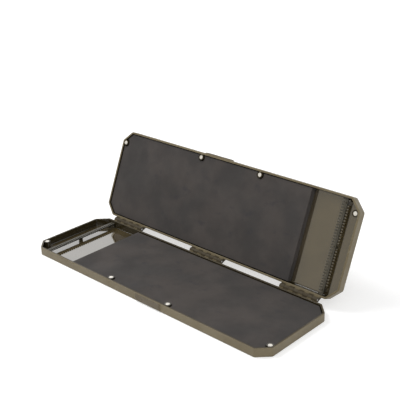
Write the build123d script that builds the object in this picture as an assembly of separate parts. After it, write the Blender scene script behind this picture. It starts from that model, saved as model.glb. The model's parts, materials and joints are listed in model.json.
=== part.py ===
from build123d import *
import math
import os

# Rig box: two identical long, flat, eight-sided trays, hinged along their back walls.
# The frame: origin at the centre of the base's underside, +X along the length to the
# right, +Y from the front to the hinge, +Z up. The lid stands open against its stops.
# Each half is drawn as the base, and the lid is the same half turned over and swung open.

# Driving dimensions of one tray, in millimetres
case_length = 372.0
case_width = 114.0
half_height = 10.6
wall = 2.2
floor_thickness = 1.5
corner_cut = 13.4
corner_radius = 4.0
foot_radius = 1.2
rim_radius = 0.4
cavity_radius = 0.8

# Hinge
rim_gap = 0.2
open_angle = 113.0
hinge_setback = 3.6
knuckle_radius = 2.8
pin_radius = 1.2
pin_clearance = 0.05
knuckles_per_group = 8
knuckle_pitch = 6.4
knuckle_side_gap = 0.3
end_group_margin = 21.5
pin_end_inset = 0.5
stop_clearance = 0.15
stop_width = 2.2
stop_lead = 0.2
web_root = 0.5

# Magnets and their bosses
magnet_radius = 2.5
magnet_height = 2.8
magnet_bevel = 0.25
magnet_clearance = 0.05
magnet_sink = 0.05
boss_radius = 3.9
boss_drop = 0.1
end_magnet_inset = 5.6
end_magnet_front_inset = 16.0
front_magnet_inset = 5.9
front_magnet_spacing = 93.0

# Finger tab on the front wall
tab_length = 42.0
tab_proud = 1.5
tab_slope = 2.5
tab_foot = 2.8

# Foam pads and the adhesive sheets under them
glue_thickness = 0.3
glue_inset = 2.0
foam_thickness = 7.2
foam_gap = 0.8
foam_edge_radius = 0.4
base_compartment_length = 72.0
lid_compartment_length = 66.0

# Slotted comb over the open end compartment
comb_offset = 19.5
comb_width = 6.5
comb_thickness = 1.5
comb_lift = 4.5
comb_end_gap = 0.4
slot_pitch = 3.2
slot_width = 1.2
slot_depth = 2.6
slot_eye_radius = 1.0
slot_end_margin = 2.6
post_length = 4.2
post_width = 3.0
peg_radius = 0.7
peg_clearance = 0.05
peg_proud = 0.2
peg_edge = 1.6
post_end_inset = 6.0

# Values that follow from the ones above
half_length = case_length / 2
half_width = case_width / 2
hinge_y = half_width + hinge_setback
hinge_z = half_height + rim_gap / 2
group_length = knuckles_per_group * knuckle_pitch
boss_top = half_height - boss_drop
comb_z = floor_thickness + comb_lift
comb_peg_x = -half_length + comb_offset + peg_edge
sink = 0.2


def tray_outline(inset, radius):
    """The eight-sided outline, moved inwards by inset, with rounded corners."""
    x = half_length - inset
    y = half_width - inset
    cut = corner_cut - inset * (2 - math.sqrt(2))
    points = [(-x + cut, -y), (x - cut, -y), (x, -y + cut), (x, y - cut)]
    points += [(x - cut, y), (-x + cut, y), (-x, y - cut), (-x, -y + cut)]
    outline = make_face(Polyline(*points, close=True))
    return fillet(outline.vertices(), max(radius - inset, cavity_radius))


def magnet_places():
    """Centres of the four magnets of one half, seen from above."""
    end_x = half_length - end_magnet_inset
    end_y = -half_width + end_magnet_front_inset
    front_y = -half_width + front_magnet_inset
    front_x = front_magnet_spacing / 2
    return [(-end_x, end_y), (-front_x, front_y), (front_x, front_y), (end_x, end_y)]


def post_places():
    """Places along the comb of its three posts."""
    end_y = half_width - wall - post_end_inset
    return [-end_y, 0.0, end_y]


def group_starts():
    """Left ends of the three groups of hinge knuckles."""
    left = -half_length + end_group_margin
    return [left, -group_length / 2, -left - group_length]


def knuckle_profile(bore_radius):
    """Section of a knuckle: barrel, web down to the back wall, and the stop lug."""
    tangent = knuckle_radius / math.sqrt(2)
    wall_face = -hinge_setback - web_root
    web_top = -rim_gap / 2
    web_foot = -tangent - (tangent - wall_face)
    web = Polygon((wall_face, web_top), (wall_face, web_foot), (tangent, -tangent), (0, web_top), align=None)
    lean = math.radians(180 - open_angle)
    reach = hinge_setback - stop_clearance
    up = (math.cos(lean), math.sin(lean))
    along = (math.sin(lean), -math.cos(lean))
    far = stop_lead + stop_width
    corners = []
    for step, rise in ((far, 0), (far, reach), (stop_lead, reach), (stop_lead, 0)):
        corners.append((rise * up[0] + step * along[0], rise * up[1] + step * along[1]))
    lug = Polygon(*corners, align=None)
    return Circle(knuckle_radius) + web + lug - Circle(bore_radius)


def knuckles():
    """The knuckles of one half: every second place in each of the three groups."""
    profile = knuckle_profile(pin_radius + pin_clearance)
    solids = []
    for start in group_starts():
        for place in range(0, knuckles_per_group, 2):
            x = start + place * knuckle_pitch + knuckle_side_gap / 2
            plane = Plane((x, hinge_y, hinge_z), x_dir=(0, 1, 0), z_dir=(1, 0, 0))
            solids.append(extrude(plane * profile, knuckle_pitch - knuckle_side_gap))
    return solids


def finger_tab():
    """Low tab with sloping ends, on the right half of the front wall."""
    y = -half_width
    points = [(0, y + wall / 2), (0, y), (tab_slope, y - tab_proud), (tab_length - tab_slope, y - tab_proud)]
    points += [(tab_length, y), (tab_length, y + wall / 2)]
    plan = make_face(Polyline(*points, close=True))
    tab = extrude(Pos(0, 0, tab_foot) * plan, half_height - tab_foot)
    top = tab.faces().sort_by(Axis.Z)[-1].edges().sort_by(Axis.Y)[0]
    return fillet(top, rim_radius)


def tray():
    """Bare tray with rounded foot, rim and inner corners."""
    outer = extrude(tray_outline(0, corner_radius), half_height)
    outer = fillet(outer.faces().sort_by(Axis.Z)[0].edges(), foot_radius)
    outer = fillet(outer.faces().sort_by(Axis.Z)[-1].edges(), rim_radius)
    cavity = extrude(Pos(0, 0, floor_thickness) * tray_outline(wall, corner_radius), half_height)
    cavity = fillet(cavity.faces().sort_by(Axis.Z)[0].edges(), cavity_radius)
    hollow = outer - cavity
    rim = hollow.faces().filter_by(Axis.Z).sort_by(Axis.Z)[-1]
    hollow = fillet(rim.inner_wires()[0].edges(), rim_radius)
    return outer, hollow


def shell():
    """One half moulding: tray, magnet bosses, comb posts, finger tab and knuckles."""
    outer, half = tray()
    for x, y in magnet_places():
        boss_height = boss_top - floor_thickness + sink
        boss = Pos(x, y, floor_thickness - sink) * extrude(Circle(boss_radius), boss_height)
        half += boss & outer
    for y in post_places():
        post_height = comb_lift + sink
        post = Pos(comb_peg_x, y, floor_thickness - sink) * extrude(Rectangle(post_width, post_length), post_height)
        peg = Pos(comb_peg_x, y, comb_z - sink) * extrude(Circle(peg_radius), comb_thickness + peg_proud + sink)
        half += post + peg
    half += finger_tab()
    for knuckle in knuckles():
        half += knuckle
    pocket_depth = magnet_height + magnet_sink
    for x, y in magnet_places():
        pocket = extrude(Circle(magnet_radius + magnet_clearance), pocket_depth + sink)
        half -= Pos(x, y, boss_top - pocket_depth) * pocket
    return half


def magnet(place):
    """Round magnet in its boss, counted from the left end."""
    x, y = magnet_places()[place]
    foot = boss_top - magnet_sink - magnet_height
    disc = Pos(x, y, foot) * extrude(Circle(magnet_radius), magnet_height)
    return chamfer(disc.faces().sort_by(Axis.Z)[-1].edges(), magnet_bevel)


def pad_outline(inset, compartment_length):
    """Floor area beside the open compartment, clear of walls and bosses."""
    outline = tray_outline(inset, corner_radius)
    left = -half_length + compartment_length + (inset - wall - foam_gap)
    area = Pos((left + half_length) / 2, 0) * Rectangle(half_length - left, case_width)
    for x, y in magnet_places():
        area -= Pos(x, y) * Circle(boss_radius + inset - wall)
    return outline & area


def foam_pad(compartment_length):
    """Die-cut foam pad that fills the rest of the tray, nearly up to the rim."""
    foot = floor_thickness + glue_thickness
    pad = extrude(Pos(0, 0, foot) * pad_outline(wall + foam_gap, compartment_length), foam_thickness)
    return fillet(pad.faces().sort_by(Axis.Z)[-1].edges(), foam_edge_radius)


def glue_sheet(compartment_length):
    """Thin adhesive sheet between the tray floor and the foam pad."""
    outline = pad_outline(wall + foam_gap + glue_inset, compartment_length)
    return extrude(Pos(0, 0, floor_thickness) * outline, glue_thickness)


def comb():
    """Flat strip with keyhole slots along its inner edge, held on three pegs."""
    length = case_width - 2 * wall - 2 * comb_end_gap
    left = -half_length + comb_offset
    plan = Pos(left + comb_width / 2, 0) * Rectangle(comb_width, length)
    slots = int((length - 2 * slot_end_margin) // slot_pitch) + 1
    first = -(slots - 1) * slot_pitch / 2
    edge = left + comb_width
    for place in range(slots):
        y = first + place * slot_pitch
        plan -= Pos(edge - slot_depth / 2, y) * Rectangle(slot_depth, slot_width)
        plan -= Pos(edge - slot_depth, y) * Circle(slot_eye_radius)
    for y in post_places():
        plan -= Pos(comb_peg_x, y) * Circle(peg_radius + peg_clearance)
    return extrude(Pos(0, 0, comb_z) * plan, comb_thickness)


def hinge_pin(group):
    """Steel pin through one group of knuckles."""
    length = group_length - 2 * pin_end_inset
    start = group_starts()[group] + pin_end_inset
    pin = Plane((start, hinge_y, hinge_z), x_dir=(0, 1, 0), z_dir=(1, 0, 0)) * Circle(pin_radius)
    return extrude(pin, length)


def in_lid(shape):
    """Turn a piece of a half over onto the lid's side and swing it open."""
    turned = Rotation(0, 180, 0) * shape
    closed = Pos(0, -hinge_y, hinge_z) * turned
    return Pos(0, hinge_y, hinge_z) * (Rotation(-open_angle, 0, 0) * closed)


def save(name, shape):
    """Write one node."""
    export_step(shape, "parts/" + name + ".step")


os.makedirs("parts", exist_ok=True)

half_shell = shell()
half_comb = comb()
save("base_shell", half_shell)
save("lid_shell", in_lid(half_shell))
save("base_comb", half_comb)
save("lid_comb", in_lid(half_comb))
save("base_foam_pad", foam_pad(base_compartment_length))
save("lid_foam_pad", in_lid(foam_pad(lid_compartment_length)))
save("base_glue_sheet", glue_sheet(base_compartment_length))
save("lid_glue_sheet", in_lid(glue_sheet(lid_compartment_length)))
for number, place in enumerate(("left_end", "front_left", "front_right", "right_end")):
    save("base_magnet_" + place, magnet(number))
    save("lid_magnet_" + place, in_lid(magnet(3 - number)))
for number, place in enumerate(("left", "middle", "right")):
    save("hinge_pin_" + place, hinge_pin(number))
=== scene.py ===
# %% [markdown]
# A rig box in Blender
# This lesson dresses a long, flat, hinged tackle box. The solid parts already exist at their
# true size, so we load them as a fixed frame and add what makes them look real: moulded olive
# plastic, soft foam pads, slotted combs, bright magnets, a pale studio and the camera.

# %% Load the frame
import json
import math

import bmesh
import bpy
from mathutils import Matrix, Vector, noise


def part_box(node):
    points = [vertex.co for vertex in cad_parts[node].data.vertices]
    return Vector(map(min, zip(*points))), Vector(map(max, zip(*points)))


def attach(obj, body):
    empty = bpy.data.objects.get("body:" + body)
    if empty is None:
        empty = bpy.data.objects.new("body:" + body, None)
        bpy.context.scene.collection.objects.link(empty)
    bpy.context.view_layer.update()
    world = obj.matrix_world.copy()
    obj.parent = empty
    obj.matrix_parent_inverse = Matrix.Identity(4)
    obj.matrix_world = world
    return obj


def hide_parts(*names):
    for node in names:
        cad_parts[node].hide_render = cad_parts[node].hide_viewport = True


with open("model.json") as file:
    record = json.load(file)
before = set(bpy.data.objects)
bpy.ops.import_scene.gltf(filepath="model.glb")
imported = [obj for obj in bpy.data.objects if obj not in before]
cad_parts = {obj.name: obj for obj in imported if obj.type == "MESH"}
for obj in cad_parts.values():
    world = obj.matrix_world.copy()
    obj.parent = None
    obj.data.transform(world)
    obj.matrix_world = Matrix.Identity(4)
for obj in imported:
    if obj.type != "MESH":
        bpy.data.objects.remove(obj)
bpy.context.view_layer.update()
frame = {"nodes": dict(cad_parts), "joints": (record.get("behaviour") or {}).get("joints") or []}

print("nodes in the frame:", len(frame["nodes"]))

# %% [markdown]
# The box is made of one moulding used twice. The lid is the base turned over about the Y axis
# and then swung open about the hinge. We could shape the lid's pieces in their slanted place, but
# every sum would be harder to follow. One matrix holds the turn instead, so a piece that we shape
# for the base can be placed in the lid as well. Its inverse brings a lid piece back to lie flat.

# %% The turn from base to lid
MM = 0.001
hinge = frame["joints"][0]
hinge_y = hinge["pos_m"][1]
hinge_z = hinge["pos_m"][2]
open_angle = math.radians(hinge["range_deg"][1])

turn_over = Matrix.Rotation(math.pi, 4, "Y")
close_lid = Matrix.Translation((0, -hinge_y, hinge_z))
swing_open = Matrix.Rotation(-open_angle, 4, "X")
into_lid = Matrix.Translation((0, hinge_y, hinge_z)) @ swing_open @ close_lid @ turn_over
lid_flat = into_lid.inverted()
base_flat = Matrix.Identity(4)
print("lid stands open at", round(math.degrees(open_angle)), "degrees")

# %% [markdown]
# The camera stands in front and to the right, a little above the box. Its place and angles were
# worked out from the corners of the box in the photograph, in metres and degrees. A long lens
# keeps the far end nearly as large as the near one. A constraint could aim it too, but the small
# roll that levels the picture as in the photo is easier to add when we build the camera's three
# axes from the angles, and that also says plainly where it looks.

# %% Camera
camera_place = Vector((0.6137, -0.5869, 0.4643))
camera_azimuth = math.radians(43.84)
camera_elevation = math.radians(23.12)
camera_roll = math.radians(-1.53)
camera_lens = 74.4
film_width = 36.0
nearest_seen = 0.01


def aimed_matrix(place, azimuth, elevation, roll):
    """World matrix of a camera from its place and angles."""
    back = Vector((
        math.sin(azimuth) * math.cos(elevation),
        -math.cos(azimuth) * math.cos(elevation),
        math.sin(elevation),
    ))
    level = Vector((math.cos(azimuth), math.sin(azimuth), 0))
    rise = back.cross(level)
    right = math.cos(roll) * level + math.sin(roll) * rise
    up = math.cos(roll) * rise - math.sin(roll) * level
    axes = Matrix((right, up, back)).transposed().to_4x4()
    return Matrix.Translation(place) @ axes


camera_data = bpy.data.cameras.new("photo_camera")
camera_data.lens = camera_lens
camera_data.sensor_width = film_width
camera_data.clip_start = nearest_seen
camera = bpy.data.objects.new("photo_camera", camera_data)
camera.matrix_world = aimed_matrix(camera_place, camera_azimuth, camera_elevation, camera_roll)
bpy.context.scene.collection.objects.link(camera)
bpy.context.scene.camera = camera
print("camera lens:", camera_data.lens, "mm")

# %% [markdown]
# Materials, floor and world are all built from nodes, and a few small helpers keep that short.
# One adds a node with its values, one does a sum, one maps a value from one range to another,
# and one mixes two colours.

# %% Node helpers
def add_node(tree, kind, **values):
    """A node with some of its input values set by socket name."""
    node = tree.nodes.new(kind)
    for socket, value in values.items():
        node.inputs[socket.replace("_", " ")].default_value = value
    return node


def reckon(tree, operation, first, second=None):
    """A Math node on two values, each a number or a link."""
    node = tree.nodes.new("ShaderNodeMath")
    node.operation = operation
    for socket, value in zip(node.inputs, (first, second)):
        if isinstance(value, (int, float)):
            socket.default_value = value
        elif value is not None:
            tree.links.new(value, socket)
    return node.outputs[0]


def between(tree, value, low, high, out_low, out_high):
    """Maps a value from low..high to out_low..out_high, with soft ends."""
    node = tree.nodes.new("ShaderNodeMapRange")
    node.interpolation_type = "SMOOTHSTEP"
    node.inputs["From Min"].default_value = low
    node.inputs["From Max"].default_value = high
    node.inputs["To Min"].default_value = out_low
    node.inputs["To Max"].default_value = out_high
    tree.links.new(value, node.inputs["Value"])
    return node.outputs[0]


def mixed_colour(tree, share, first, second):
    """Mixes two colours, or a colour from a link, by share."""
    node = tree.nodes.new("ShaderNodeMix")
    node.data_type = "RGBA"
    tree.links.new(share, node.inputs["Factor"])
    for socket, colour in ((node.inputs[6], first), (node.inputs[7], second)):
        if isinstance(colour, tuple):
            socket.default_value = (*colour, 1)
        else:
            tree.links.new(colour, socket)
    return node.outputs[2]


print("node helpers ready")

# %% [markdown]
# The studio is a white sweep with soft light. A real sweep is a sheet of paper that curves up
# behind the object. Here one wide flat sheet under a white world looks the same and is simpler.
# It lies a hair below zero, so that it never shares a plane with the box's foot.

# %% Floor sheet
floor_half = 6.0
floor_drop = 0.1 * MM

floor_mesh = bpy.data.meshes.new("floor")
floor_corners = [(-floor_half, -floor_half, 0), (floor_half, -floor_half, 0)]
floor_corners += [(floor_half, floor_half, 0), (-floor_half, floor_half, 0)]
floor_mesh.from_pydata(floor_corners, [], [(0, 1, 2, 3)])
floor = bpy.data.objects.new("floor", floor_mesh)
floor.location.z = -floor_drop
bpy.context.scene.collection.objects.link(floor)
print("floor:", 2 * floor_half, "m across")

# %% [markdown]
# The paper adds a little glow of its own to what the camera and mirrors see. That lifts it to
# white without putting more light on the box. Near the box the glow is weak, so that the soft
# shadow stays, and further out it grows until floor and sky meet in one white.

# %% Floor paper
paper_white = (0.76, 0.76, 0.76, 1)
pure_white = (1, 1, 1, 1)
near_glow = 0.45
far_glow = 1.0
glow_start = 0.45
glow_end = 1.3


def seen_directly(tree):
    """1 for rays from the camera, from mirrors and through glass, else 0."""
    path = tree.nodes.new("ShaderNodeLightPath")
    seen = reckon(tree, "MAXIMUM", path.outputs["Is Camera Ray"], path.outputs["Is Glossy Ray"])
    return reckon(tree, "MAXIMUM", seen, path.outputs["Is Transmission Ray"])


def floor_finish():
    """White paper that glows for the eye, more so further out."""
    material = bpy.data.materials.new("floor_paper")
    material.use_nodes = True
    tree = material.node_tree
    tree.nodes.clear()
    place = tree.nodes.new("ShaderNodeTexCoord")
    reach = tree.nodes.new("ShaderNodeVectorMath")
    reach.operation = "LENGTH"
    tree.links.new(place.outputs["Object"], reach.inputs[0])
    level = between(tree, reach.outputs["Value"], glow_start, glow_end, near_glow, far_glow)
    face = add_node(tree, "ShaderNodeBsdfDiffuse", Color=paper_white)
    glow = add_node(tree, "ShaderNodeEmission", Color=pure_white)
    tree.links.new(reckon(tree, "MULTIPLY", seen_directly(tree), level), glow.inputs["Strength"])
    both = tree.nodes.new("ShaderNodeAddShader")
    tree.links.new(face.outputs[0], both.inputs[0])
    tree.links.new(glow.outputs[0], both.inputs[1])
    out = tree.nodes.new("ShaderNodeOutputMaterial")
    tree.links.new(both.outputs[0], out.inputs["Surface"])
    return material


floor_mesh.materials.append(floor_finish())
print("paper:", floor_mesh.materials[0].name)

# %% [markdown]
# The world is white where the camera looks. What a glossy wall mirrors is another matter: behind
# the camera a studio is dim, and that is why the inside of the lid stays olive while the floor
# of the base, which mirrors the white sweep behind the box, looks pale. A picture of a real
# studio could give such a world, but a few nodes say plainly what is bright and what is dim.
# Mirror rays get a world that fades from white at the back to a warm grey at the front.

# %% World
ambient = 0.55
white_level = 1.0
dim_side = 0.26
dim_tint = (1.0, 0.9, 0.7)
no_tint = (1, 1, 1)
dim_before = -0.5
white_beyond = 0.35


def mixed_shader(tree, share, first, second):
    """Mixes two shaders by share."""
    node = tree.nodes.new("ShaderNodeMixShader")
    for socket, value in zip(node.inputs, (share, first, second)):
        tree.links.new(value, socket)
    return node.outputs[0]


world = bpy.data.worlds.new("studio")
bpy.context.scene.world = world
world.use_nodes = True
sky = world.node_tree
sky.nodes.clear()
sky_out = sky.nodes.new("ShaderNodeOutputWorld")
sky_even = add_node(sky, "ShaderNodeBackground", Color=pure_white, Strength=ambient)
sky_seen = add_node(sky, "ShaderNodeBackground", Color=pure_white, Strength=white_level)
sky_mirror = sky.nodes.new("ShaderNodeBackground")
sky_way = sky.nodes.new("ShaderNodeTexCoord")
sky_parts = sky.nodes.new("ShaderNodeSeparateXYZ")
sky.links.new(sky_way.outputs["Generated"], sky_parts.inputs[0])
sky_fade = between(sky, sky_parts.outputs["Y"], dim_before, white_beyond, dim_side, white_level)
sky.links.new(sky_fade, sky_mirror.inputs["Strength"])
sky.links.new(mixed_colour(sky, sky_fade, dim_tint, no_tint), sky_mirror.inputs["Color"])
sky_path = sky.nodes.new("ShaderNodeLightPath")
by_mirror = mixed_shader(sky, sky_path.outputs["Is Glossy Ray"], sky_even.outputs[0], sky_mirror.outputs[0])
clear_rays = (sky_path.outputs["Is Camera Ray"], sky_path.outputs["Is Transmission Ray"])
by_eye = mixed_shader(sky, reckon(sky, "MAXIMUM", *clear_rays), by_mirror, sky_seen.outputs[0])
sky.links.new(by_eye, sky_out.inputs["Surface"])
bpy.context.scene.view_settings.view_transform = "Standard"
print("world: ambient", ambient)

# %% [markdown]
# Two large soft lamps stand high over the box. The key comes from the left and the front, so it
# reaches the floor of the base and the inside of the lid alike, and the shadow of the open lid
# falls softly to the right, as in the photograph. The fill evens out the front walls. Smaller
# lamps would give harder shadows. Places and sizes are in metres, and powers in watts.

# %% Lamps
box_middle = Vector((0.0, 0.02, 0.03))
key_place = Vector((-0.9, -0.45, 1.5))
key_size = 0.9
key_power = 17.0
fill_place = Vector((1.15, -0.75, 1.1))
fill_size = 1.2
fill_power = 7.0


def soft_lamp(name, place, size, power):
    """A square area lamp that points at the middle of the box."""
    data = bpy.data.lights.new(name, "AREA")
    data.size = size
    data.energy = power
    lamp = bpy.data.objects.new(name, data)
    aim = (box_middle - place).to_track_quat("-Z", "Y")
    lamp.matrix_world = Matrix.Translation(place) @ aim.to_matrix().to_4x4()
    bpy.context.scene.collection.objects.link(lamp)
    return lamp


key_lamp = soft_lamp("key_lamp", key_place, key_size, key_power)
fill_lamp = soft_lamp("fill_lamp", fill_place, fill_size, fill_power)
print("lamps:", key_lamp.name, fill_lamp.name)

# %% [markdown]
# Patterns read object coordinates, in metres, so they keep their true scale. The lid's parts are
# stored in their open place, so a Mapping node first lays them flat again. After that, one recipe
# serves both halves. A noise is given by its scale and its detail, and by its stretch along the
# three axes where it has one.

# %% Pattern helpers
def start_material(name):
    """A new material with its node tree and its shader."""
    material = bpy.data.materials.new(name)
    material.use_nodes = True
    tree = material.node_tree
    shader = tree.nodes["Principled BSDF"]
    return material, tree, shader


def flat_place(tree, to_flat):
    """Object coordinates turned back to the half that lies flat."""
    where = tree.nodes.new("ShaderNodeTexCoord")
    mapping = tree.nodes.new("ShaderNodeMapping")
    mapping.inputs["Location"].default_value = to_flat.to_translation()
    mapping.inputs["Rotation"].default_value = to_flat.to_euler()
    tree.links.new(where.outputs["Object"], mapping.inputs["Vector"])
    return mapping.outputs[0]


def object_noise(tree, scale, detail, stretch=(1, 1, 1), place=None):
    """Noise on object coordinates or on a given place, from 0 to 1."""
    mapping = tree.nodes.new("ShaderNodeMapping")
    mapping.inputs["Scale"].default_value = stretch
    cloud = add_node(tree, "ShaderNodeTexNoise", Scale=scale, Detail=detail)
    if place is None:
        place = tree.nodes.new("ShaderNodeTexCoord").outputs["Object"]
    tree.links.new(place, mapping.inputs["Vector"])
    tree.links.new(mapping.outputs[0], cloud.inputs["Vector"])
    return cloud.outputs["Fac"]


def add_bump(tree, shader, height, depth, strength):
    """Joins a height to the shader's normal."""
    bump = add_node(tree, "ShaderNodeBump", Strength=strength, Distance=depth)
    tree.links.new(height, bump.inputs["Height"])
    tree.links.new(bump.outputs[0], shader.inputs["Normal"])


print("pattern helpers ready")

# %% [markdown]
# A mould has two faces. The one that shapes the outside is spark-eroded to a satin grain, and
# hides scratches. The core that shapes the inside is polished, so the plastic leaves it dark and
# glossy, and mirrors what stands around. The inner faces could have a material of their own, but
# then the border would be a hard line. One recipe that knows where on the tray it is can let each
# finish fade into the next, in a narrow band. In the half that lies flat, Z is the height over
# the underside, and the distance to the eight-sided outline, below zero within it, tells the
# outer walls from the inner ones.

# %% Borders on a tray
half_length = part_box("base_shell")[1].x
half_width = 57 * MM
corner_cut = 13.4 * MM
rim_height = 10.6 * MM

outer_wall_band = (-0.6 * MM, -0.2 * MM)
rim_width_band = (-2.5 * MM, -2.3 * MM)
rim_height_band = (rim_height - 0.6 * MM, rim_height - 0.3 * MM)
underside_band = (0.5 * MM, 0.9 * MM)
hinge_band = (half_width - 0.3 * MM, half_width + 1.5 * MM)
tab_band = (0.1 * MM, 0.9 * MM)
floor_height_band = (1.55 * MM, 1.8 * MM)
floor_edge_band = (-4.0 * MM, -2.9 * MM)
wall_gloss = 0.1
print("tray half length:", round(half_length / MM, 1), "mm")

# %% [markdown]
# The distance to the outline is the largest of three: past an end, past a long side and past a
# cut corner. Everything else is a band on that distance, or on the height or the depth.

# %% Regions of a tray
def past_outline(tree, parts):
    """Distance past the eight-sided outline, below zero within it."""
    across = reckon(tree, "ABSOLUTE", parts.outputs["X"])
    along = reckon(tree, "ABSOLUTE", parts.outputs["Y"])
    past_end = reckon(tree, "SUBTRACT", across, half_length)
    past_side = reckon(tree, "SUBTRACT", along, half_width)
    corner_sum = half_length + half_width - corner_cut
    diagonal = reckon(tree, "SUBTRACT", reckon(tree, "ADD", across, along), corner_sum)
    past_corner = reckon(tree, "MULTIPLY", diagonal, math.sqrt(0.5))
    return reckon(tree, "MAXIMUM", reckon(tree, "MAXIMUM", past_end, past_side), past_corner)


def tray_regions(tree, place):
    """How far a spot is outside, at the hinge, on the tab, rim and floor, each from 0 to 1."""
    parts = tree.nodes.new("ShaderNodeSeparateXYZ")
    tree.links.new(place, parts.inputs[0])
    depth = parts.outputs["Y"]
    height = parts.outputs["Z"]
    past = past_outline(tree, parts)
    wall_share = between(tree, past, *outer_wall_band, 0, 1)
    foot_share = between(tree, height, *underside_band, 1, 0)
    near_rim = between(tree, past, *rim_width_band, 0, 1)
    high = between(tree, height, *rim_height_band, 0, 1)
    rim_share = reckon(tree, "MULTIPLY", near_rim, high)
    outside = reckon(tree, "MAXIMUM", reckon(tree, "MAXIMUM", wall_share, foot_share), rim_share)
    on_rim = reckon(tree, "MULTIPLY", rim_share, reckon(tree, "SUBTRACT", 1, wall_share))
    at_hinge = between(tree, depth, *hinge_band, 0, 1)
    # On the inner walls and close beside them the floor share falls to wall_gloss: the clear coat thins
    # there, and painted shade darkens the colour.
    low = between(tree, height, *floor_height_band, 1, wall_gloss)
    clear_of_wall = between(tree, past, *floor_edge_band, 1, wall_gloss)
    on_floor = reckon(tree, "MINIMUM", low, clear_of_wall)
    before_wall = reckon(tree, "SUBTRACT", -half_width, depth)
    on_tab = between(tree, before_wall, *tab_band, 0, 1)
    return outside, at_hinge, on_tab, on_rim, on_floor


print("tray regions ready")

# %% [markdown]
# The outside is a pale olive and the inside a deep one. The olive drifts a little from place to
# place, as pigment does in a moulding, and scuffs mark the outside. The drift, the grain and the
# scuffs are noises of very different scale, so none of them looks like a pattern. The knuckles
# of the hinge and the finger tab get painted shade: a darker colour that stands in for the shade
# on them. The rim takes painted shade too, strongly on the base and faintly on the lid, though
# both are one moulding. The inner walls, and the floor close beside them, get painted shade as well.

# %% Olive shades and patterns
satin_deep = (0.15, 0.118, 0.062)
satin_pale = (0.176, 0.142, 0.08)
satin_scuff = (0.27, 0.245, 0.17)
# Painted shade: darker colours that stand in for shade on the hinge knuckles, the finger tab, the rim and
# the inner walls.
hinge_painted_shade = (0.046, 0.034, 0.015)
tab_painted_shade = (0.106, 0.081, 0.045)
rim_painted_shade = (0.028, 0.021, 0.01)
gloss_deep = (0.064, 0.047, 0.02)
gloss_pale = (0.086, 0.064, 0.029)
wall_painted_shade = (0.02, 0.015, 0.006)
# How much painted shade the rim takes: much on the base, little on the lid.
base_rim_painted_share = 0.8
lid_rim_painted_share = 0.1

drift_noise = (22, 3)
drift_range = (0.35, 0.65)
scuff_noise = (120, 4, (0.25, 1.4, 1.4))
scuff_range = (0.64, 0.78)
scuff_share = 0.4
wear_noise = (60, 5)
wear_range = (0.3, 0.75)
grain_noise = (1500, 2)
grain_depth = 0.03 * MM
grain_strength = 0.25
polished_grain = 0.08
print("olive, outside and inside:", satin_pale, gloss_pale)

# %% [markdown]
# The outside is rough enough to blur what it mirrors, and the knuckles are duller still. Inside,
# the flat floor gets a clear coat with a high index, which mirrors strongly, while the steep
# inner walls have only a tenth of it. Numbers that hold all over go straight onto the shader.

# %% Moulded plastic
satin_roughness = (0.42, 0.56)
gloss_roughness = (0.08, 0.18)
hinge_dullness = 0.25
plastic_ior = 1.5
coat_ior = 3.6
coat_roughness = 0.04


def tray_plastic(name, to_flat, rim_painted_share):
    """Olive plastic: satin outside, polished inside."""
    material, tree, shader = start_material(name)
    place = flat_place(tree, to_flat)
    outside, at_hinge, on_tab, on_rim, on_floor = tray_regions(tree, place)
    inside = reckon(tree, "SUBTRACT", 1, outside)
    drift = between(tree, object_noise(tree, *drift_noise, place=place), *drift_range, 0, 1)
    scuffs = object_noise(tree, *scuff_noise, place=place)
    satin = mixed_colour(tree, drift, satin_deep, satin_pale)
    satin = mixed_colour(tree, between(tree, scuffs, *scuff_range, 0, scuff_share), satin, satin_scuff)
    # Painted shade on the tab, the rim and the hinge knuckles.
    satin = mixed_colour(tree, on_tab, satin, tab_painted_shade)
    satin = mixed_colour(tree, reckon(tree, "MULTIPLY", on_rim, rim_painted_share), satin, rim_painted_shade)
    satin = mixed_colour(tree, at_hinge, satin, hinge_painted_shade)
    # Painted shade on the inner walls and on the floor beside them.
    gloss = mixed_colour(tree, on_floor, wall_painted_shade, mixed_colour(tree, drift, gloss_deep, gloss_pale))
    tree.links.new(mixed_colour(tree, outside, gloss, satin), shader.inputs["Base Color"])
    wear = object_noise(tree, *wear_noise, place=place)
    satin_rough = between(tree, wear, *wear_range, *satin_roughness)
    satin_rough = reckon(tree, "ADD", satin_rough, reckon(tree, "MULTIPLY", at_hinge, hinge_dullness))
    satin_part = reckon(tree, "MULTIPLY", outside, satin_rough)
    gloss_part = reckon(tree, "MULTIPLY", inside, between(tree, wear, *wear_range, *gloss_roughness))
    tree.links.new(reckon(tree, "ADD", satin_part, gloss_part), shader.inputs["Roughness"])
    tree.links.new(reckon(tree, "MULTIPLY", inside, on_floor), shader.inputs["Coat Weight"])
    shader.inputs["IOR"].default_value = plastic_ior
    shader.inputs["Coat Roughness"].default_value = coat_roughness
    shader.inputs["Coat IOR"].default_value = coat_ior
    grain = object_noise(tree, *grain_noise, place=place)
    grain = reckon(tree, "MULTIPLY", grain, reckon(tree, "ADD", outside, polished_grain))
    add_bump(tree, shader, grain, grain_depth, grain_strength)
    return material


base_olive = tray_plastic("olive_plastic_base", base_flat, base_rim_painted_share)
lid_olive = tray_plastic("olive_plastic_lid", lid_flat, lid_rim_painted_share)
print("tray plastics:", base_olive.name, lid_olive.name)

# %% [markdown]
# The combs are moulded apart, in a darker and plainer plastic, so they get their own recipe. Only
# their tops keep that colour. The slot walls, the sides and the underside get painted shade, a near
# black for the shade down in the slots, so the colour goes by the height over the tray, and the
# slots read as dark holes.

# %% Comb plastic
comb_low, comb_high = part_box("base_comb")
comb_top_band = (comb_high.z - 0.2 * MM, comb_high.z - 0.06 * MM)
comb_deep = (0.05, 0.045, 0.032)
comb_pale = (0.068, 0.06, 0.044)
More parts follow.
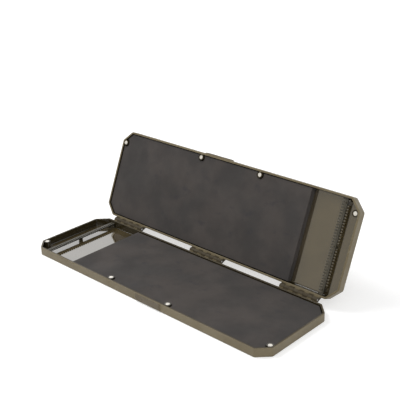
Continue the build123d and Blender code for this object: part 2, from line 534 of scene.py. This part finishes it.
# Painted shade for the comb's slot walls, sides and underside.
comb_painted_shade = (0.012, 0.011, 0.008)
comb_drift_noise = (90, 3)
comb_wear_noise = (300, 4)
comb_wear_range = (0.3, 0.7)
comb_roughness = (0.3, 0.45)
comb_grain_noise = (1800, 2)
comb_grain_depth = 0.02 * MM
comb_grain_strength = 0.2


def comb_plastic(name, to_flat):
    """Olive-grey plastic with a dull shine, with painted shade below its top."""
    material, tree, shader = start_material(name)
    place = flat_place(tree, to_flat)
    parts = tree.nodes.new("ShaderNodeSeparateXYZ")
    tree.links.new(place, parts.inputs[0])
    drift = between(tree, object_noise(tree, *comb_drift_noise, place=place), *drift_range, 0, 1)
    top = mixed_colour(tree, drift, comb_deep, comb_pale)
    # Painted shade: everything below the top of the comb takes the near-black colour.
    on_top = between(tree, parts.outputs["Z"], *comb_top_band, 0, 1)
    tree.links.new(mixed_colour(tree, on_top, comb_painted_shade, top), shader.inputs["Base Color"])
    wear = object_noise(tree, *comb_wear_noise, place=place)
    tree.links.new(between(tree, wear, *comb_wear_range, *comb_roughness), shader.inputs["Roughness"])
    grain = object_noise(tree, *comb_grain_noise)
    add_bump(tree, shader, grain, comb_grain_depth, comb_grain_strength)
    return material


base_comb_olive = comb_plastic("comb_plastic_base", base_flat)
lid_comb_olive = comb_plastic("comb_plastic_lid", lid_flat)
print("comb plastics:", base_comb_olive.name, lid_comb_olive.name)

# %% [markdown]
# Closed-cell foam is matt and almost black, yet large pale and dark clouds drift over it where
# the skin was pressed and handled. Dark marks and specks of dust lie over the clouds, and small
# cells dimple the face. A photograph of foam would repeat over a pad this long, so every one of
# these is a noise of its own scale. A trace of sheen gives the dusty look at low angles.

# %% Foam
foam_deep = (0.042, 0.038, 0.036)
foam_pale = (0.06, 0.0515, 0.047)
foam_mark = (0.03, 0.029, 0.033)
foam_dust = (0.1, 0.094, 0.088)
cloud_noise = (26, 4)
cloud_range = (0.34, 0.68)
mark_noise = (75, 5, (0.8, 1.3, 1))
mark_range = (0.58, 0.74)
mark_share = 0.5
dust_noise = (900, 3)
dust_range = (0.6, 0.8)
dust_share = 0.3
press_noise = (40, 2)
press_range = (0.3, 0.7)
foam_roughness = (0.72, 0.9)
cell_noise = (1300, 4)
cell_depth = 0.12 * MM
cell_strength = 0.35
foam_sheen = 0.05
foam_sheen_roughness = 0.5
foam_specular = 0.3


def foam_finish():
    """Matt dark foam with clouds, marks, dust and cells."""
    material, tree, shader = start_material("foam")
    clouds = between(tree, object_noise(tree, *cloud_noise), *cloud_range, 0, 1)
    marks = between(tree, object_noise(tree, *mark_noise), *mark_range, 0, mark_share)
    dust = between(tree, object_noise(tree, *dust_noise), *dust_range, 0, dust_share)
    skin = mixed_colour(tree, clouds, foam_deep, foam_pale)
    skin = mixed_colour(tree, marks, skin, foam_mark)
    skin = mixed_colour(tree, dust, skin, foam_dust)
    tree.links.new(skin, shader.inputs["Base Color"])
    rough = between(tree, object_noise(tree, *press_noise), *press_range, *foam_roughness)
    tree.links.new(rough, shader.inputs["Roughness"])
    shader.inputs["Sheen Weight"].default_value = foam_sheen
    shader.inputs["Sheen Roughness"].default_value = foam_sheen_roughness
    shader.inputs["Specular IOR Level"].default_value = foam_specular
    add_bump(tree, shader, object_noise(tree, *cell_noise), cell_depth, cell_strength)
    return material


foam = foam_finish()
print("foam:", foam.name)

# %% [markdown]
# The magnets are nickel plated and slightly satin, so they catch the lamps as soft white discs.
# The hinge pins are drawn steel with fine lines along their length. One recipe makes both metals:
# stretching its noise along X turns an even grain into drawn lines. The noise also drives the
# colour and the roughness, which an anisotropic shader alone would leave even.

# %% Metals
line_noise = (700, 3)
line_range = (0.3, 0.7)
line_depth = 0.01 * MM
line_strength = 0.1
even_grain = (1, 1, 1)
drawn_lines = (0.1, 1, 1)
nickel_pale = (0.95, 0.92, 0.85)
nickel_warm = (0.88, 0.84, 0.76)
nickel_roughness = (0.32, 0.45)
nickel_metallic = 0.55
steel_pale = (0.55, 0.55, 0.55)
steel_grey = (0.4, 0.4, 0.4)
steel_roughness = (0.25, 0.4)
steel_metallic = 1.0


def metal_finish(name, colour, tint, roughness, stretch, metallic):
    """Metal with an even grain or with drawn lines."""
    material, tree, shader = start_material(name)
    lines = object_noise(tree, *line_noise, stretch)
    tree.links.new(mixed_colour(tree, lines, colour, tint), shader.inputs["Base Color"])
    tree.links.new(between(tree, lines, *line_range, *roughness), shader.inputs["Roughness"])
    shader.inputs["Metallic"].default_value = metallic
    add_bump(tree, shader, lines, line_depth, line_strength)
    return material


nickel = metal_finish("nickel", nickel_pale, nickel_warm, nickel_roughness, even_grain, nickel_metallic)
pin_steel = metal_finish("pin_steel", steel_pale, steel_grey, steel_roughness, drawn_lines, steel_metallic)
print("metals:", nickel.name, pin_steel.name)

# %% [markdown]
# The adhesive sheet under each pad hardly shows, but it has its own finish all the same: a pale
# tape with a faint crinkle.

# %% Adhesive
crinkle_noise = (300, 4)
crinkle_depth = 0.1 * MM
crinkle_strength = 0.2
tape_deep = (0.5, 0.48, 0.42)
tape_pale = (0.6, 0.58, 0.52)
tape_roughness = 0.6


def tape_finish():
    """Pale adhesive tape with a faint crinkle."""
    material, tree, shader = start_material("adhesive")
    crinkle = object_noise(tree, *crinkle_noise)
    tree.links.new(mixed_colour(tree, crinkle, tape_deep, tape_pale), shader.inputs["Base Color"])
    shader.inputs["Roughness"].default_value = tape_roughness
    add_bump(tree, shader, crinkle, crinkle_depth, crinkle_strength)
    return material


adhesive = tape_finish()
print("tape:", adhesive.name)

# %% [markdown]
# The frame's solid parts keep their shape and take these finishes. A loop looks for a word in
# each node's name, so no part is forgotten.

# %% Dress the solid parts
finishes = {
    "base_shell": base_olive,
    "lid_shell": lid_olive,
    "base_comb": base_comb_olive,
    "lid_comb": lid_comb_olive,
    "foam_pad": foam,
    "glue_sheet": adhesive,
    "magnet": nickel,
    "pin": pin_steel,
}
for node_name, node in frame["nodes"].items():
    for word, finish in finishes.items():
        if word in node_name:
            node.data.materials.clear()
            node.data.materials.append(finish)
print("dressed:", ", ".join(sorted(frame["nodes"])))

# %% [markdown]
# A foam pad is cut from sheet with a steel rule. Its top is not quite flat, and the cut face is
# slightly torn. It could be sculpted by hand, but a formula gives the same pad every time. We take
# a copy of the pad's solid, lay it flat and slice it with a grid of planes, so that it has points
# to move: faint waves over the top and a fine tear down the sides. The crisp cut edge stays,
# because slicing, unlike smoothing, adds points without rounding anything.

# %% Flat copies and slices
merge_distance = 0.002 * MM
slice_tolerance = 0.0001 * MM


def flat_copy(node, to_flat):
    """A merged copy of a frame part, moved so that it lies flat."""
    shape = bmesh.new()
    shape.from_mesh(node.data)
    bmesh.ops.remove_doubles(shape, verts=shape.verts, dist=merge_distance)
    bmesh.ops.transform(shape, matrix=to_flat, verts=shape.verts)
    return shape


def slice_grid(shape, step):
    """Cuts a shape along X and Y at every step."""
    for axis in (0, 1):
        places = [vert.co[axis] for vert in shape.verts]
        count = int((max(places) - min(places)) / step)
        way = Vector((axis == 0, axis == 1, 0))
        for cut in range(1, count):
            everything = shape.verts[:] + shape.edges[:] + shape.faces[:]
            spot = way * (min(places) + cut * step)
            bmesh.ops.bisect_plane(shape, geom=everything, plane_co=spot, plane_no=way, dist=slice_tolerance)


print("slicing ready")

# %% [markdown]
# The waves come from a slow noise and a quick one. They press the top down, so the pad stays
# inside the space that the solid pad fills. The tear is a noise that runs down the cut face.

# %% Waves and tear
pad_step = 4 * MM
pad_wave = 0.12 * MM
pad_tear = 0.08 * MM
pad_crease = math.radians(35)
slow_scale = 60
slow_share = 0.35
quick_scale = 170
quick_share = 0.2
mean_wave = 0.5
tear_scale = Vector((500, 500, 90))


def wave_at(spot):
    """Depth of the pressed waves at a spot, from 0 to about 1."""
    slow = noise.noise(spot * slow_scale)
    quick = noise.noise(spot * quick_scale)
    return mean_wave + slow_share * slow + quick_share * quick


def wear_pad(shape):
    """Moves the points of a flat pad: waves over the top, a torn cut face."""
    heights = [vert.co.z for vert in shape.verts]
    foot = min(heights)
    top = max(heights)
    shape.normal_update()
    for vert in shape.verts:
        up = (vert.co.z - foot) / (top - foot)
        tear = pad_tear * noise.noise(vert.co * tear_scale)
        side = Vector((vert.normal.x, vert.normal.y, 0))
        vert.co += side * (tear - pad_tear)
        vert.co.z -= pad_wave * up * wave_at(vert.co)


print("waves up to", round(pad_wave / MM, 2), "mm deep")

# %% [markdown]
# Each pad now takes the place of its plain solid.

# %% Foam pads
def foam_piece(name, node_name, body, to_place):
    """A soft pad with waves and a torn edge in place of the plain one."""
    shape = flat_copy(frame["nodes"][node_name], to_place.inverted())
    slice_grid(shape, pad_step)
    wear_pad(shape)
    mesh = bpy.data.meshes.new(name)
    shape.to_mesh(mesh)
    shape.free()
    mesh.transform(to_place)
    mesh.polygons.foreach_set("use_smooth", [True] * len(mesh.polygons))
    mesh.set_sharp_from_angle(angle=pad_crease)
    mesh.materials.clear()
    mesh.materials.append(foam)
    pad = bpy.data.objects.new(name, mesh)
    bpy.context.scene.collection.objects.link(pad)
    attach(pad, body)
    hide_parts(node_name)
    print(name, "faces:", len(mesh.polygons))


foam_piece("base_pad", "base_foam_pad", "base", base_flat)
foam_piece("lid_pad", "lid_foam_pad", "lid", into_lid)

# %% [markdown]
# The comb holds the loose ends of lines in a row of keyhole slots. A Boolean could cut each slot
# from a plain strip, but it leaves untidy faces round every hole. The comb is one tooth cell
# repeated instead. A cell is the stretch between two slots, with half a keyhole cut from each
# side. The keyhole is a narrow slot that ends in a round eye, so its outline is a straight step
# and an arc.

# %% One tooth cell
slot_pitch = 3.2 * MM
slot_width = 1.2 * MM
slot_depth = 2.6 * MM
eye_radius = 1.0 * MM
eye_steps = 6
comb_length = comb_high.y - comb_low.y
cell_count = round((comb_length - 2 * slot_pitch) / slot_pitch)
end_length = (comb_length - cell_count * slot_pitch) / 2
first_slot = comb_low.y + end_length
last_slot = comb_high.y - end_length


def half_keyhole(y, side):
    """Points of half a keyhole at y, from the open edge inwards; side is 1 above the slot."""
    half = slot_width / 2
    eye_x = comb_high.x - slot_depth
    neck = math.asin(half / eye_radius)
    points = [(comb_high.x, y + side * half)]
    for step in range(eye_steps + 1):
        turn = neck + (math.pi - neck) * step / eye_steps
        points.append((eye_x + eye_radius * math.cos(turn), y + side * eye_radius * math.sin(turn)))
    return points


def plate(points, name):
    """A flat piece of the comb's thickness with this outline."""
    shape = bmesh.new()
    ring = [shape.verts.new((x, y, comb_low.z)) for x, y in points]
    shape.faces.new(ring)
    grown = bmesh.ops.extrude_face_region(shape, geom=list(shape.faces))
    lifted = [item for item in grown["geom"] if isinstance(item, bmesh.types.BMVert)]
    bmesh.ops.translate(shape, vec=(0, 0, comb_high.z - comb_low.z), verts=lifted)
    bmesh.ops.recalc_face_normals(shape, faces=shape.faces)
    mesh = bpy.data.meshes.new(name)
    shape.to_mesh(mesh)
    shape.free()
    return mesh


cell_points = half_keyhole(first_slot, 1)
cell_points += [(comb_low.x, first_slot), (comb_low.x, first_slot + slot_pitch)]
cell_points += half_keyhole(first_slot + slot_pitch, -1)[::-1]
cell = bpy.data.objects.new("comb_cell", plate(cell_points, "comb_cell"))
print("comb cells:", cell_count)

# %% [markdown]
# The two ends of the strip are plain on their outer side and carry half a keyhole on the other.

# %% Comb ends
lower_end = half_keyhole(first_slot, -1)
lower_end += [(comb_low.x, first_slot), (comb_low.x, comb_low.y), (comb_high.x, comb_low.y)]
upper_end = half_keyhole(last_slot, 1)
upper_end += [(comb_low.x, last_slot), (comb_low.x, comb_high.y), (comb_high.x, comb_high.y)]
ends = bmesh.new()
for end_name, end_points in (("lower_end", lower_end), ("upper_end", upper_end)):
    ends.from_mesh(plate(end_points, end_name))
ends_mesh = bpy.data.meshes.new("comb_ends")
ends.to_mesh(ends_mesh)
ends.free()
print("end pieces are", round(end_length / MM, 2), "mm long")

# %% [markdown]
# Geometry Nodes lay out points on a line, put a cell on each, join the two ends, merge the points
# that coincide and set the material. The inputs have names, so the same tree would make a row of
# any count or pitch.

# %% The comb tree
def comb_tree():
    """Geometry Nodes: cells in a row, joined to the ends, merged and given a material."""
    tree = bpy.data.node_groups.new("comb_row", "GeometryNodeTree")
    face = tree.interface
    face.new_socket("Geometry", in_out="INPUT", socket_type="NodeSocketGeometry")
    face.new_socket("Cell", in_out="INPUT", socket_type="NodeSocketObject")
    face.new_socket("Count", in_out="INPUT", socket_type="NodeSocketInt")
    face.new_socket("Pitch", in_out="INPUT", socket_type="NodeSocketFloat")
    face.new_socket("Finish", in_out="INPUT", socket_type="NodeSocketMaterial")
    face.new_socket("Geometry", in_out="OUTPUT", socket_type="NodeSocketGeometry")
    inlet = tree.nodes.new("NodeGroupInput")
    outlet = tree.nodes.new("NodeGroupOutput")
    step = tree.nodes.new("ShaderNodeCombineXYZ")
    line = tree.nodes.new("GeometryNodeMeshLine")
    info = tree.nodes.new("GeometryNodeObjectInfo")
    place = tree.nodes.new("GeometryNodeInstanceOnPoints")
    join = tree.nodes.new("GeometryNodeJoinGeometry")
    realize = tree.nodes.new("GeometryNodeRealizeInstances")
    merge = tree.nodes.new("GeometryNodeMergeByDistance")
    merge.inputs["Distance"].default_value = merge_distance
    finish = tree.nodes.new("GeometryNodeSetMaterial")
    links = tree.links
    links.new(inlet.outputs["Pitch"], step.inputs["Y"])
    links.new(inlet.outputs["Count"], line.inputs["Count"])
    links.new(step.outputs[0], line.inputs["Offset"])
    links.new(inlet.outputs["Cell"], info.inputs["Object"])
    links.new(line.outputs[0], place.inputs["Points"])
    links.new(info.outputs["Geometry"], place.inputs["Instance"])
    links.new(place.outputs[0], join.inputs[0])
    links.new(inlet.outputs["Geometry"], join.inputs[0])
    links.new(join.outputs[0], realize.inputs["Geometry"])
    links.new(realize.outputs[0], merge.inputs["Geometry"])
    links.new(merge.outputs[0], finish.inputs["Geometry"])
    links.new(inlet.outputs["Finish"], finish.inputs["Material"])
    links.new(finish.outputs[0], outlet.inputs["Geometry"])
    return tree


row_tree = comb_tree()
print("comb tree nodes:", len(row_tree.nodes))

# %% [markdown]
# A modifier is set and then made real at once, so the export sees a plain mesh. A tree's inputs
# are set by their identifiers, which Blender hands out, so one helper looks them up by name.

# %% Modifier helpers
def applied(obj):
    """The object's evaluated mesh, with its modifiers gone."""
    bpy.context.view_layer.update()
    evaluated = obj.evaluated_get(bpy.context.evaluated_depsgraph_get())
    mesh = bpy.data.meshes.new_from_object(evaluated)
    obj.modifiers.clear()
    obj.data = mesh
    return mesh


def set_input(modifier, name, value):
    """Sets a modifier's input by its socket's identifier."""
    for item in modifier.node_group.interface.items_tree:
        if item.item_type == "SOCKET" and item.in_out == "INPUT" and item.name == name:
            modifier[item.identifier] = value


print("modifier helpers ready")

# %% [markdown]
# The finished row is beveled, because rounded edges are what catches the light on the real comb.
# Then it is moved to its place in the base or the lid, and stands in for the plain strip there.
# Where two cells meet, a thin wall stays inside the strip. It can't be seen from outside.

# %% Make both combs
comb_bevel = 0.16 * MM
comb_bevel_steps = 2
comb_bevel_angle = math.radians(50)


def comb_piece(name, node_name, body, to_place, finish):
    """One comb with rounded edges in place of the plain strip."""
    comb = bpy.data.objects.new(name, ends_mesh.copy())
    bpy.context.scene.collection.objects.link(comb)
    row = comb.modifiers.new("row", "NODES")
    row.node_group = row_tree
    set_input(row, "Cell", cell)
    set_input(row, "Count", cell_count)
    set_input(row, "Pitch", slot_pitch)
    set_input(row, "Finish", finish)
    applied(comb)
    bevel = comb.modifiers.new("rounded", "BEVEL")
    bevel.width = comb_bevel
    bevel.segments = comb_bevel_steps
    bevel.limit_method = "ANGLE"
    bevel.angle_limit = comb_bevel_angle
    mesh = applied(comb)
    mesh.transform(to_place)
    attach(comb, body)
    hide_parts(node_name)
    print(name, "faces:", len(mesh.polygons))


comb_piece("base_slotted_comb", "base_comb", "base", base_flat, base_comb_olive)
comb_piece("lid_slotted_comb", "lid_comb", "lid", into_lid, lid_comb_olive)

# %% [markdown]
# Last, the script prints that it is done.

# %% Finish
print("done")
